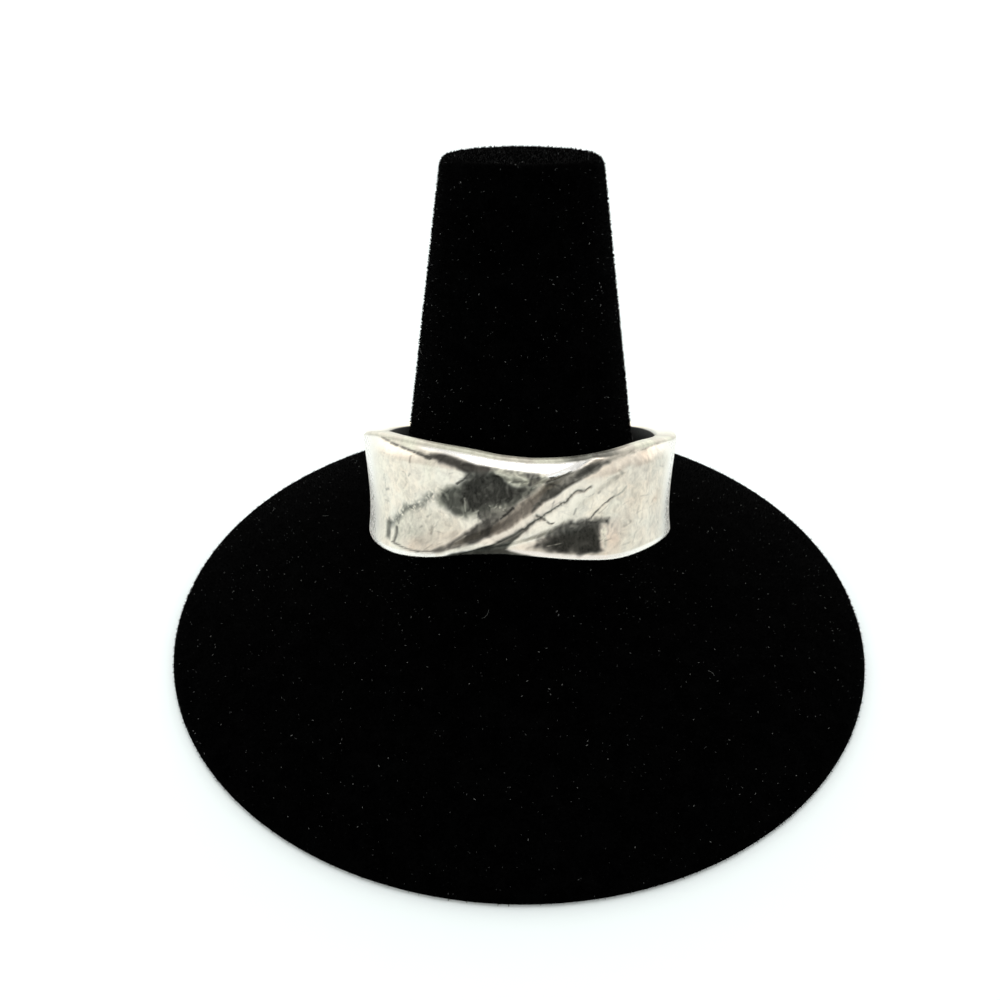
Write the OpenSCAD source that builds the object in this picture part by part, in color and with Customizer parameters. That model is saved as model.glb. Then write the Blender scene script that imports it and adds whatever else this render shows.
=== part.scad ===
// A wide silver band whose front twists over itself, held by a leaning post on a domed round base.
// The post's foot is near the middle of the base, z = 0 is the table and the front of the ring faces -Y.

/* [Ring] */
// Diameter of the finger hole
bore_d = 19.8; // [17:0.1:22]
// How far the hole opens at its two ends
bore_ease = 0.15; // [0.05:0.05:0.3]
// Height of the band at its two sides
side_h = 7.3; // [6:0.1:9]
// Height of the band at its back
back_h = 5; // [4:0.1:5.8]
// Thickness of the band at its back
back_wall = 1.25; // [1.1:0.05:1.5]
// Thickness of the band at its two sides
side_wall = 1.5; // [1.4:0.05:2]
// Thickness of the band at its front
front_wall = 1.85; // [1.7:0.05:2.3]
// Radius of the rounding along the two edges
edge_r = 0.3; // [0.2:0.05:0.4]

/* [Twist] */
// How far the diagonal ridge stands above the rims
ridge_h = 0.2; // [0.1:0.05:0.4]
// Width of the ridge across its flat, in degrees round the ring
ridge_turn = 9; // [7:0.5:12]
// Width of the steep face on the ridge's upper side, in degrees round the ring
face_turn = 8; // [6:0.5:10]
// Depth of the hollow above the ridge
valley_d = 0.65; // [0.3:0.05:0.75]
// Depth of the scoop below the ridge
panel_d = 0.4; // [0.2:0.05:0.6]
// Depth of the dish half way up the band
dish_d = 0.2; // [0.1:0.02:0.4]
// How far the two sides flare out towards the top edge
side_flare = 0.25; // [0.15:0.05:0.4]
// Depth of the step beside the ridge
step_d = 0.14; // [0.05:0.01:0.2]
// How far the upper lip rolls in at its top
lip_roll = 0.85; // [0.5:0.05:0.95]

/* [Post] */
// Lean of the post from upright, in degrees
post_lean = 14.3; // [6:0.1:18]
// Length of the post from the table, along its own axis
post_l = 37.8; // [32:0.1:46]
// Diameter of the post's cone where it meets the table
post_foot_d = 21; // [19:0.1:23]
// Diameter of the post's cone at its top
post_top_d = 11.1; // [9:0.1:13]
// Radius of the rounding at the post's top
post_round = 0.7; // [0.4:0.1:1.5]
// How far forward of the base's middle the foot of the post is
post_forward = 3.3; // [1:0.1:5]
// Radius of the hollow corner between the post and the base, at the front
front_fillet = 4.5; // [2:0.1:6]
// Radius of the hollow corner between the post and the base, at the back
back_fillet = 0.8; // [0.4:0.1:1.2]

/* [Base] */
// Diameter of the base
base_d = 54.8; // [50:0.2:62]
// Height of the base's domed middle
base_h = 6.4; // [5:0.1:8]
// Thickness of the base at its rim
rim_h = 0.9; // [0.6:0.1:1.5]

/* [Seat] */
// Gap between the ring's hole and the front of the post
seat_gap = 0.18; // [0.1:0.02:0.3]
// Gap between the back of the ring and the top of the base
rest_gap = 0.3; // [0.2:0.05:0.4]
// Least play between the hole and the post
least_play = 0.4; // [0.3:0.05:0.8]

/* [Hidden] */

bore_r = bore_d / 2;
taper = (post_foot_d - post_top_d) / 2 / post_l;
taper_a = atan(taper);
ring_tilt = post_lean + taper_a;

// The ring slides down the post until its back meets the base, or until the post fills its hole.
back_drop = (bore_r + back_wall) * sin(ring_tilt) + back_h / 2 * cos(ring_tilt);
hole_shift = (bore_r - seat_gap) / cos(taper_a) - post_foot_d / 2;
rest_s = (base_h + rest_gap + back_drop + hole_shift * sin(post_lean))
         / (cos(post_lean) - taper * sin(post_lean));
grip_s = (post_foot_d / 2 - bore_r + least_play) / taper;
ring_s = max(rest_s, grip_s);
ring_back = hole_shift + taper * ring_s;

// The band's edges at the front: how far each stands out past the height at the sides.
// Columns: angle round the ring, rise of the top edge, drop of the bottom edge, both as shares of side_h.
EDGES = [
    [-90, 0.000, 0.000],
    [-70, 0.100, 0.025],
    [-52, 0.130, 0.020],
    [-35, 0.126, -0.035],
    [-20, 0.104, -0.118],
    [-9, 0.064, -0.150],
    [-4, 0.050, -0.150],
    [5, 0.031, -0.128],
    [20, 0.031, -0.070],
    [34, 0.050, -0.025],
    [52, 0.076, -0.032],
    [70, 0.042, -0.030],
    [90, 0.000, 0.000]
];

// The crease under the upper lip. Columns: angle round the ring, height as a share of the band.
CREASE = [
    [-75, 0.99],
    [-60, 0.985],
    [-50, 0.97],
    [-40, 0.95],
    [-30, 0.92],
    [-20, 0.855],
    [-10, 0.82],
    [0, 0.745],
    [10, 0.785],
    [20, 0.865],
    [30, 0.94],
    [45, 0.97],
    [75, 0.99]
];

// The ridge's path from the bottom edge to the top edge, as an angle round the ring
ridge_at = 5.5;
ridge_mid = 0.53;
ridge_slope = 30.4;
ridge_bend = 130;
// Angles from the ridge between which its slant dies out
slant_fade = [45, 150];

// How the twist's shapes run out round the ring, as angles
corner_turn = 1;
valley_spread = 26;
panel_at = 25;
panel_spread = 15;
panel_start = 8;
step_end = 48;
dish_fade = [95, 150];
lip_fade = [45, 85];
flare_in = [35, 75];
flare_out = [110, 160];
// How they run out up the band, as shares of its height
flank_up = 0.1;
valley_low = [0.02, 0.24];
ridge_low = [0, 0.12];
panel_mid = 0.24;
panel_reach = 0.28;
lip_up = [0.84, 1.16];
flare_up = [0.1, 0.9];

// Counts of the mesh: columns round the band, and steps down its outer face and up its hole
col_n = 100;
face_n = 21;
bore_n = 8;
// Share of even spacing in the columns; the rest crowds them towards the ridge
even = 0.3;
// How sharply the hole opens at its two ends
ease_power = 3;
// Angles from the front at which the band's height and its wall change towards the sides and the back
height_fade = [80, 175];
front_fade = [20, 90];
back_fade = [90, 165];

function clamp(x, a = 0, b = 1) = min(max(x, a), b);
function mix(a, b, t) = a + (b - a) * t;
function ease(a, b, x) = let (t = clamp((x - a) / (b - a))) t * t * (3 - 2 * t);
function hump(x, mid, w) = exp(-pow((x - mid) / w, 2));

// Value of one column of a table at x, as a smooth curve through its rows
function slope_at(t, c, i) =
    i == 0 || i == len(t) - 1 ? 0 : (t[i + 1][c] - t[i - 1][c]) / (t[i + 1][0] - t[i - 1][0]);
function row_of(t, x, i = 0) = i >= len(t) - 2 || x < t[i + 1][0] ? i : row_of(t, x, i + 1);
function pick(t, c, x) =
    x <= t[0][0] ? t[0][c]
    : x >= t[len(t) - 1][0] ? t[len(t) - 1][c]
    : let (
        i = row_of(t, x),
        w = t[i + 1][0] - t[i][0],
        u = (x - t[i][0]) / w,
        a = slope_at(t, c, i) * w,
        b = slope_at(t, c, i + 1) * w
    )
    (2 * pow(u, 3) - 3 * u * u + 1) * t[i][c] + (pow(u, 3) - 2 * u * u + u) * a
    + (3 * u * u - 2 * pow(u, 3)) * t[i + 1][c] + (pow(u, 3) - u * u) * b;

// Share of a shape that fades out between the two values of a pair
function fade(pair, x) = 1 - ease(pair[0], pair[1], x);

// Half the plain band's height and its wall at angle t
function half_h(t) = mix(back_h, side_h, fade(height_fade, abs(t))) / 2;
function wall(t) =
    abs(t) < front_fade[1] ? mix(side_wall, front_wall, fade(front_fade, abs(t)))
    : mix(back_wall, side_wall, fade(back_fade, abs(t)));
function top_z(t) = half_h(t) + side_h * pick(EDGES, 1, t);
function bottom_z(t) = -half_h(t) - side_h * pick(EDGES, 2, t);

// Angle at which the ridge crosses height v, a share of the band's height from the bottom edge
function ridge_t(v) = ridge_at + ridge_slope * (v - ridge_mid) + ridge_bend * pow(v - ridge_mid, 3);
// Angle round the ring of a point d degrees from the ridge. Far from the ridge the slant dies out.
function turn(d, v) = d + ridge_t(v) * fade(slant_fade, abs(d));

// The twist's shapes, d degrees from the ridge and at height v, each as a share of its own depth
function crest(d, v) =
    ease(-face_turn, -corner_turn, d) * (1 - ease(ridge_turn - corner_turn, ridge_turn + corner_turn, d))
    * ease(ridge_low[0], ridge_low[1], v);
function valley(d, v) =
    (1 - ease(-face_turn, 0, d)) * hump(d, -face_turn, valley_spread)
    * ease(valley_low[0], valley_low[1], v);
function panel(d, v) =
    ease(ridge_turn, ridge_turn + panel_start, d) * hump(d, panel_at, panel_spread)
    * hump(v, panel_mid, panel_reach) * ease(0, valley_low[1], v);
function step(d) =
    ease(ridge_turn - corner_turn, ridge_turn + corner_turn, d) * (1 - ease(ridge_turn, step_end, d));

// How far the outer face stands out from the rims, d degrees from the ridge, at angle t and height v.
// The lip's flank climbs out of the hollow from the crease, and its roll is cut off half way by the top.
function relief(d, t, v) =
    let (
        crease = pick(CREASE, 1, t),
        under_lip = 1 - ease(crease, crease + flank_up, v)
    )
    ridge_h * crest(d, v) * under_lip
    - (valley_d * valley(d, v) + step_d * step(d)) * under_lip
    - panel_d * panel(d, v)
    - dish_d * (1 - pow(2 * v - 1, 2)) * fade(dish_fade, abs(t))
    - 2 * lip_roll * ease(lip_up[0], lip_up[1], v) * fade(lip_fade, abs(t))
    + side_flare * ease(flare_up[0], flare_up[1], v)
      * ease(flare_in[0], flare_in[1], abs(t)) * fade(flare_out, abs(t));

// One column of the band as [angle, radius, height], up the hole, over the top and down the outer face
function column(d) =
    let (
        t1 = turn(d, 1),
        t0 = turn(d, 0),
        z1 = top_z(t1) - edge_r,
        z0 = bottom_z(t0) + edge_r,
        in_r = bore_r + bore_ease + edge_r,
        out1 = bore_r + wall(t1) + relief(d, t1, 1) - edge_r,
        out0 = bore_r + wall(t0) + relief(d, t0, 0) - edge_r
    )
    concat(
        [for (i = [0:bore_n]) let (v = i / bore_n, t = mix(t0, t1, v))
            [t, bore_r + bore_ease * pow(abs(2 * v - 1), ease_power),
             mix(bottom_z(t) + edge_r, top_z(t) - edge_r, v)]],
        [for (a = [135, 90]) [t1, in_r + edge_r * cos(a), z1 + edge_r * sin(a)]],
        [for (a = [90, 45]) [t1, out1 + edge_r * cos(a), z1 + edge_r * sin(a)]],
        [for (i = [0:face_n]) let (v = 1 - i / face_n, t = turn(d, v))
            [t, bore_r + wall(t) + relief(d, t, v), mix(bottom_z(t) + edge_r, top_z(t) - edge_r, v)]],
        [for (a = [-45, -90]) [t0, out0 + edge_r * cos(a), z0 + edge_r * sin(a)]],
        [for (a = [-90, -135]) [t0, in_r + edge_r * cos(a), z0 + edge_r * sin(a)]]
    );

// Closed tube through loops of equal length, the last joined to the first
module loop_tube(loops) {
    m = len(loops);
    n = len(loops[0]);
    polyhedron(
        points = [for (l = loops, p = l) p],
        faces = [for (i = [0:m - 1], j = [0:n - 1])
            let (i2 = (i + 1) % m, j2 = (j + 1) % n)
            each [[i * n + j, i * n + j2, i2 * n + j2], [i * n + j, i2 * n + j2, i2 * n + j]]]
    );
}

// Solid through a stack of loops of equal length, closed by a flat face at each end
module stack_solid(loops) {
    m = len(loops);
    n = len(loops[0]);
    polyhedron(
        points = [for (l = loops, p = l) p],
        faces = concat(
            [[for (j = [0:n - 1]) j]],
            [[for (j = [n - 1:-1:0]) (m - 1) * n + j]],
            [for (i = [0:m - 2], j = [0:n - 1])
                let (j2 = (j + 1) % n)
                each [[i * n + j, (i + 1) * n + j, (i + 1) * n + j2],
                      [i * n + j, (i + 1) * n + j2, i * n + j2]]]
        )
    );
}

module band() {
    loop_tube([for (i = [0:col_n - 1])
        let (x = 2 * i / col_n - 1, d = 180 * (even * x + (1 - even) * pow(x, 3)))
        [for (p = column(d)) [p[1] * sin(p[0]), -p[1] * cos(p[0]), p[2]]]]);
}

module ring() {
    color([0.86, 0.84, 0.79])
        translate([0, -post_forward, 0])
            rotate([-post_lean, 0, 0])
                translate([0, ring_back, ring_s])
                    rotate([-taper_a, 0, 0])
                        band();
}

// The base, revolved: a thin rounded rim and a dome that flattens towards the middle
base_n = 96;
dome_n = 12;
rim_round = 0.3;
dome_power = 3;
dome_r = base_d / 2 - rim_round;
function dome_z(r) = rim_h + (base_h - rim_h) * (1 - pow(r / dome_r, dome_power));
module base() {
    rotate_extrude($fn = base_n)
        polygon(concat(
            [[0, 0], [dome_r, 0], [base_d / 2, rim_round], [base_d / 2, rim_h - rim_round]],
            [for (i = [dome_n:-1:0]) let (r = dome_r * sin(90 * i / dome_n)) [r, dome_z(r)]]
        ));
}

// The post, a leaning cone that runs out into the dome in a hollow corner, with a rounded top
post_n = 48;
fillet_n = 8;
cap_n = 4;
// How far the post's foot and the toe of its hollow corner reach into the base
foot_sink = 1.5;
toe_sink = 0.05;
function cone_r(s) = post_foot_d / 2 - taper * s;
// Point of a leaning circle of radius r, s along the axis, at angle a round it
function lean_pt(a, s, r) = [
    r * cos(a),
    s * sin(post_lean) + r * sin(a) * cos(post_lean) - post_forward,
    s * cos(post_lean) - r * sin(a) * sin(post_lean)
];
// Point of the cone at angle a and height z, pushed out sideways by w
function cone_pt(a, z, w) =
    let (
        k = sin(a) * sin(post_lean),
        s = (z + post_foot_d / 2 * k) / (cos(post_lean) + taper * k)
    )
    lean_pt(a, s, cone_r(s)) + w * [cos(a), sin(a), 0];
function fillet_r(a) = mix(back_fillet, front_fillet, (1 - sin(a)) / 2);
// Height of the dome under the outer end of the hollow corner at angle a
function toe_z(a) = let (p = cone_pt(a, base_h, fillet_r(a))) dome_z(norm([p[0], p[1]]));

module post() {
    shoulder_s = post_l - post_round;
    stack_solid(concat(
        [[for (j = [0:post_n - 1]) let (a = 360 * j / post_n) cone_pt(a, toe_z(a) - foot_sink, 0)]],
        [for (i = [0:fillet_n]) [for (j = [0:post_n - 1])
            let (a = 360 * j / post_n, b = 90 * i / fillet_n, f = fillet_r(a))
            cone_pt(a, toe_z(a) - toe_sink + f * (1 - cos(b)), f * (1 - sin(b)))]],
        [for (i = [0:cap_n]) [for (j = [0:post_n - 1])
            let (b = 90 * i / cap_n)
            lean_pt(360 * j / post_n, shoulder_s + post_round * sin(b),
                    cone_r(shoulder_s) - post_round * (1 - cos(b)))]]
    ));
}

module stand() {
    color([0.02, 0.02, 0.02]) {
        base();
        post();
    }
}

ring();
stand();
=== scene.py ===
import math

import bpy
import numpy as np
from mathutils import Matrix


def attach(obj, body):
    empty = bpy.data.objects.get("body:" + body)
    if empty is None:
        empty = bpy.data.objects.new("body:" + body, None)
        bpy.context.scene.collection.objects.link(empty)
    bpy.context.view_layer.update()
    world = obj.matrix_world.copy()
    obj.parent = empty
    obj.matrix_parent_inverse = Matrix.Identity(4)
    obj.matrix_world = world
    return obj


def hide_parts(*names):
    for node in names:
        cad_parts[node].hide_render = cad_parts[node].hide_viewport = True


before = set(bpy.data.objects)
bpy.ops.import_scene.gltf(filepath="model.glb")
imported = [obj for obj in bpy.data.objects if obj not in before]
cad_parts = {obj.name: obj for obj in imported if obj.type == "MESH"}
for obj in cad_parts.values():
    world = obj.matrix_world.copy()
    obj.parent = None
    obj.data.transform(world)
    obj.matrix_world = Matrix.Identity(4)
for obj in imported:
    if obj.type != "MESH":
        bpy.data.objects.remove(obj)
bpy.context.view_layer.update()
mm = 0.001


# The shot. The camera stands close in front and looks down on the stand, as the photograph was taken,
# so that the ring's hole shows only as a thin dark gap behind the front of the band.
scene = bpy.context.scene
shot = bpy.data.cameras.new("shot")
shot.sensor_width = 36
shot.lens = 45
shot.clip_start = 0.002
shot.clip_end = 20
camera = bpy.data.objects.new("camera", shot)
camera_x, camera_y, camera_z, look_down = -1.48, -75.95, 68.02, 36.43
camera.location = (camera_x * mm, camera_y * mm, camera_z * mm)
camera.rotation_euler = (math.radians(90 - look_down), 0, 0)
scene.collection.objects.link(camera)
scene.camera = camera


# The table. A plain white sheet, far wider than the view, that the stand's foot rests on.
# It is one flat face with a matt white finish.
table_half = 3.0
table_mesh = bpy.data.meshes.new("table")
corners = [(-1, -1), (1, -1), (1, 1), (-1, 1)]
table_mesh.from_pydata([(x * table_half, y * table_half, 0) for x, y in corners], [], [(0, 1, 2, 3)])
table = bpy.data.objects.new("table", table_mesh)
scene.collection.objects.link(table)


def new_finish(name):
    finish = bpy.data.materials.new(name)
    finish.use_nodes = True
    return finish


def feed(tree, node, inputs):
    """Gives a node its inputs, each as a plain value or as a socket to wire."""
    for name, value in inputs.items():
        if isinstance(value, bpy.types.NodeSocket):
            tree.links.new(value, node.inputs[name])
        else:
            node.inputs[name].default_value = value
    return node


def shade(finish, inputs):
    feed(finish.node_tree, finish.node_tree.nodes["Principled BSDF"], inputs)


white_sheet = new_finish("white_sheet")
shade(white_sheet, {"Base Color": (0.86, 0.93, 0.945, 1), "Roughness": 0.9, "Specular IOR Level": 0.1})
table_mesh.materials.append(white_sheet)


# The light. A pale lightbox all round with a brighter ceiling and a bright back wall, and a slightly dimmer
# opening at its front. The room's tone follows the direction in the world, not the camera.
room_tone, ceiling_tone, back_tone, front_tone, seen_tone = 0.66, 0.95, 1.9, 1.0, 1.3
room_tint = (1.0, 0.985, 0.95, 1)
room = bpy.data.worlds.new("room")
room.use_nodes = True
scene.world = room
room_tree = room.node_tree
room_tree.nodes.clear()


def add_node(tree, kind, inputs=(), **settings):
    """A new node of a tree, with its settings and its inputs."""
    node = tree.nodes.new(kind)
    for name, value in settings.items():
        setattr(node, name, value)
    return feed(tree, node, dict(inputs))


def add_math(tree, kind, *values):
    return add_node(tree, "ShaderNodeMath", enumerate(values), operation=kind).outputs[0]


def room_ramp(value, low, high, out_low, out_high):
    return add_node(room_tree, "ShaderNodeMapRange", {
        "Value": value, "From Min": low, "From Max": high, "To Min": out_low, "To Max": out_high,
    }, interpolation_type="SMOOTHSTEP").outputs[0]


look = add_node(room_tree, "ShaderNodeTexCoord").outputs["Generated"]
toward = add_node(room_tree, "ShaderNodeSeparateXYZ", {0: look}).outputs
to_front = add_math(room_tree, "MULTIPLY", toward["Y"], -1)
aside = add_math(room_tree, "ARCTAN2", add_math(room_tree, "ABSOLUTE", toward["X"]), to_front)
in_front = room_ramp(aside, math.radians(50), math.radians(85), 1, 0)
below_lamp = room_ramp(toward["Z"], math.sin(math.radians(28)), math.sin(math.radians(55)), 1, 0)
dim = add_math(room_tree, "MULTIPLY", in_front, below_lamp)
height = room_ramp(toward["Z"], 0.25, 0.95, room_tone, ceiling_tone)
behind = room_ramp(aside, math.radians(95), math.radians(135), 0, back_tone)
wall_top = room_ramp(toward["Z"], math.sin(math.radians(20)), math.sin(math.radians(50)), 1, 0)
lit = add_math(room_tree, "MULTIPLY_ADD", behind, wall_top, height)
tone = add_math(room_tree, "MULTIPLY_ADD", dim, add_math(room_tree, "SUBTRACT", front_tone, lit), lit)
# The camera itself sees a plain white room in place of these tones.
seen = add_node(room_tree, "ShaderNodeLightPath").outputs["Is Camera Ray"]
glow = add_node(room_tree, "ShaderNodeBackground", {"Color": room_tint, "Strength": tone})
backdrop = add_node(room_tree, "ShaderNodeBackground", {"Color": (1, 1, 1, 1), "Strength": seen_tone})
choose = add_node(room_tree, "ShaderNodeMixShader", {0: seen, 1: glow.outputs[0], 2: backdrop.outputs[0]})
add_node(room_tree, "ShaderNodeOutputWorld", {"Surface": choose.outputs[0]})

softbox = bpy.data.lights.new("softbox", "AREA")
softbox.shape = "DISK"
softbox.size = 0.30
softbox.energy = 0.4
softbox_lamp = bpy.data.objects.new("softbox", softbox)
softbox_lamp.location = (0, 0.10, 0.42)
softbox_lamp.rotation_euler = (math.radians(-13), 0, 0)
scene.collection.objects.link(softbox_lamp)
scene.view_settings.view_transform = "Standard"
scene.view_settings.look = "None"


# The stand's body. A moulded plastic finger post that leans back from a round domed base, all one piece.
# It is one closed skin of loops, from the middle of the foot over the rim, the dome and up the post.
base_d, base_h, rim_h, rim_round = 54.8, 6.4, 0.9, 0.3
post_lean, post_l = 14.3, 37.8
post_foot_d, post_top_d = 21.0, 11.1
post_round, post_forward = 0.7, 3.3
front_fillet, back_fillet = 4.5, 0.8
dome_r = base_d / 2 - rim_round
taper = (post_foot_d - post_top_d) / 2 / post_l
lean_sin, lean_cos = math.sin(math.radians(post_lean)), math.cos(math.radians(post_lean))
# The pile covers the skin, so the skin lies this far inside the stand's outline.
pile_root = 0.06
around_n = 224
round_angle = np.linspace(0, 2 * np.pi, around_n, endpoint=False)


def mix(a, b, share):
    return a + (b - a) * share


def dome_z(r):
    return rim_h + (base_h - rim_h) * (1 - (np.minimum(r, dome_r) / dome_r) ** 3)


def lean_loop(s, r):
    a = round_angle
    return np.stack([r * np.cos(a), s * lean_sin + r * np.sin(a) * lean_cos - post_forward,
                     s * lean_cos - r * np.sin(a) * lean_sin], -1)


def cone_r(s):
    return post_foot_d / 2 - pile_root - taper * s


def cone_loop(z, out):
    tip = np.sin(round_angle) * lean_sin
    s = (z + cone_r(0) * tip) / (lean_cos + taper * tip)
    loop = lean_loop(s, cone_r(s))
    loop[:, 0] += out * np.cos(round_angle)
    loop[:, 1] += out * np.sin(round_angle)
    return loop


def closed_skin(name, loops, closed_ends):
    """A mesh of quads through loops of equal length, with a fan at each end or the ends joined."""
    count, length = len(loops), len(loops[0])
    verts = np.concatenate(loops)
    faces = []
    for i in range(count - 1 if closed_ends else count):
        low, high = i * length, (i + 1) % count * length
        j = np.arange(length)
        k = (j + 1) % length
        faces.append(np.stack([low + j, low + k, high + k, high + j], -1))
    faces = np.concatenate(faces).tolist()
    if closed_ends:
        verts = np.concatenate([verts, [loops[0].mean(0), loops[-1].mean(0)]])
        first, last = count * length, count * length + 1
        top = (count - 1) * length
        faces += [(first, (j + 1) % length, j) for j in range(length)]
        faces += [(last, top + j, top + (j + 1) % length) for j in range(length)]
    mesh = bpy.data.meshes.new(name)
    mesh.from_pydata((verts * mm).tolist(), [], faces)
    mesh.shade_smooth()
    piece = bpy.data.objects.new(name, mesh)
    scene.collection.objects.link(piece)
    return piece


fillet = mix(back_fillet, front_fillet, (1 - np.sin(round_angle)) / 2)
toe = cone_loop(base_h, fillet)
toe_r = np.hypot(toe[:, 0], toe[:, 1])
toe_z = dome_z(toe_r) - pile_root
toe = cone_loop(toe_z, fillet)
rim_circle = np.stack([np.cos(round_angle), np.sin(round_angle), 0 * round_angle], -1)
skin_r = base_d / 2 - pile_root
foot_loops = (4, 12, 20, 25.5, skin_r - rim_round)
skin = [rim_circle * r for r in foot_loops]
for a in (30, 60, 90):
    turn_in = math.radians(a)
    rim_step, rise = rim_round * (1 - math.sin(turn_in)), rim_round * (1 - math.cos(turn_in))
    skin.append(rim_circle * (skin_r - rim_step) + [0, 0, rise])
dome_steps = 44
for i in range(dome_steps):
    share = math.sin(i / dome_steps * math.pi / 2)
    ground = mix(rim_circle[:, :2] * (dome_r - pile_root), toe[:, :2], share)
    flat_r = np.hypot(ground[:, 0], ground[:, 1])
    skin.append(np.column_stack([ground, dome_z(flat_r) - pile_root * min(1, 4 * share)]))
fillet_steps = 16
for i in range(fillet_steps + 1):
    b = math.radians(90 * i / fillet_steps)
    skin.append(cone_loop(toe_z + fillet * (1 - math.cos(b)), fillet * (1 - math.sin(b))))
shoulder = post_l - post_round
post_steps = 60
tip = np.sin(round_angle) * lean_sin
low_s = (skin[-1][:, 2] + cone_r(0) * tip) / (lean_cos + taper * tip)
for i in range(1, post_steps + 1):
    s = mix(low_s, shoulder, i / post_steps)
    skin.append(lean_loop(s, cone_r(s)))
cap_steps = 6
for i in range(1, cap_steps + 1):
    b = math.radians(90 * i / cap_steps)
    cap_r = cone_r(shoulder) - post_round * (1 - math.cos(b))
    skin.append(lean_loop(shoulder + (post_round - pile_root) * math.sin(b), cap_r))
for share in (0.75, 0.5, 0.25, 0.1):
    skin.append(lean_loop(post_l - pile_root, (cone_r(shoulder) - post_round) * share))
stand = closed_skin("stand_body", skin, True)
# The parts of the skin, for the pile: 0 is the foot, 1 the base, 2 the post.
foot_rows, base_rows = 7, 8 + dome_steps + fillet_steps // 2
part_of_row = np.full(len(skin), 2.0)
part_of_row[:base_rows], part_of_row[:foot_rows] = 1.0, 0.0
part_of_point = np.concatenate([np.repeat(part_of_row, around_n), [0.0, 2.0]])
part_values = stand.data.attributes.new("part", "FLOAT", "POINT")
part_values.data.foreach_set("value", part_of_point.astype(np.float32))


# A mottle that both materials share: two sizes of noise in one place, averaged and centred on one half.
mottle_group = bpy.data.node_groups.new("mottle", "ShaderNodeTree")
mottle_face = mottle_group.interface
mottle_face.new_socket("Vector", in_out="INPUT", socket_type="NodeSocketVector")
mottle_face.new_socket("Coarse", in_out="INPUT", socket_type="NodeSocketFloat").default_value = 1000
mottle_face.new_socket("Fine", in_out="INPUT", socket_type="NodeSocketFloat").default_value = 5000
mottle_face.new_socket("Value", in_out="OUTPUT", socket_type="NodeSocketFloat")
mottle_in = add_node(mottle_group, "NodeGroupInput").outputs
average = 0.0
for size in ("Coarse", "Fine"):
    noise = add_node(mottle_group, "ShaderNodeTexNoise", {
        "Vector": mottle_in["Vector"], "Scale": mottle_in[size], "Detail": 3, "Roughness": 0.65,
    })
    average = add_math(mottle_group, "MULTIPLY_ADD", noise.outputs["Fac"], 0.5, average)
add_node(mottle_group, "NodeGroupOutput", {"Value": average})


# Black flock. Short nylon fibres stand on a glued ground, so the face drinks the light, and only the tips
# of the fibres catch a little of it. The ground is mottled where the fibres lean in different directions.
def add_ramp(tree, value, stops):
    """The colour that a ramp gives a value. Its stops are pairs of a place and a colour, in rising order."""
    node = add_node(tree, "ShaderNodeValToRGB", {0: value})
    elements = node.color_ramp.elements
    elements[0].position, elements[-1].position = stops[0][0], stops[-1][0]
    elements[0].color, elements[-1].color = (*stops[0][1], 1), (*stops[-1][1], 1)
    for place, color in stops[1:-1]:
        elements.new(place).color = (*color, 1)
    return node.outputs["Color"]


def add_mottle(tree, place, coarse, fine):
    sizes = {"Vector": place, "Coarse": coarse, "Fine": fine}
    return add_node(tree, "ShaderNodeGroup", sizes, node_tree=mottle_group).outputs["Value"]


flock = new_finish("black_flock")
flock_tree = flock.node_tree
flock_place = add_node(flock_tree, "ShaderNodeTexCoord").outputs["Object"]
mottle = add_mottle(flock_tree, flock_place, 700, 4500)
ground_color = add_ramp(flock_tree, mottle, [
    (0.42, (0.0001, 0.0001, 0.00012)), (0.75, (0.0012, 0.00125, 0.0013)),
])
# Each fibre of the pile carries its own value, and the lightest few are dusty ones and painted glints of
# fibres that catch the light.
fibre_value = add_node(flock_tree, "ShaderNodeAttribute", attribute_name="fibre").outputs["Fac"]
fibre_tone_and_glint = add_ramp(flock_tree, fibre_value, [
    (0, (0, 0, 0)), (0.80, (0.0006, 0.0006, 0.0007)), (0.96, (0.004, 0.0042, 0.0044)),
    (1, (0.06, 0.062, 0.062)),
])
flock_color = add_node(flock_tree, "ShaderNodeMix", {
    "Factor": 1, "A": ground_color, "B": fibre_tone_and_glint,
}, data_type="RGBA", blend_type="ADD").outputs["Result"]
flock_bump = add_node(flock_tree, "ShaderNodeBump", {"Strength": 0.6, "Distance": 0.0002, "Height": mottle})
shade(flock, {
    "Base Color": flock_color, "Roughness": 0.95, "Specular IOR Level": 0.004, "Sheen Weight": 0.0012,
    "Sheen Roughness": 0.4, "Sheen Tint": (0.9, 0.95, 1.0, 1), "Normal": flock_bump.outputs["Normal"],
})
stand.data.materials.append(flock)
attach(stand, "root")
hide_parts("stand")


# The ring. A wide band of sterling silver, cast in one piece: its front is twisted over itself, so that a
# ridge climbs from the lower left to the upper right with a hollow above it and a dished panel below it.
bore_d, bore_ease, edge_r = 19.8, 0.15, 0.3
side_h, back_h = 7.3, 5.0
back_wall, side_wall, front_wall = 1.25, 1.5, 1.85
ridge_h, ridge_turn, face_turn = 0.2, 9.0, 8.0
ridge_at, ridge_mid, ridge_slope, ridge_bend = 5.5, 0.53, 30.4, 130
valley_d, panel_d, dish_d, step_d, lip_roll, side_flare = 0.65, 0.4, 0.20, 0.14, 0.85, 0.25
seat_gap, rest_gap = 0.18, 0.3
bore_r = bore_d / 2
# How far each edge of the front stands out past the height at the sides.
# Columns: angle round the ring, rise of the top edge, drop of the bottom edge, both as shares of side_h.
EDGES = np.array([
    (-90, 0.000, 0.000), (-70, 0.100, 0.025), (-52, 0.130, 0.020), (-35, 0.126, -0.035), (-20, 0.104, -0.118),
    (-9, 0.064, -0.150), (-4, 0.050, -0.150), (5, 0.031, -0.128), (20, 0.031, -0.070), (34, 0.050, -0.025),
    (52, 0.076, -0.032), (70, 0.042, -0.030), (90, 0.000, 0.000),
])
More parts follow.
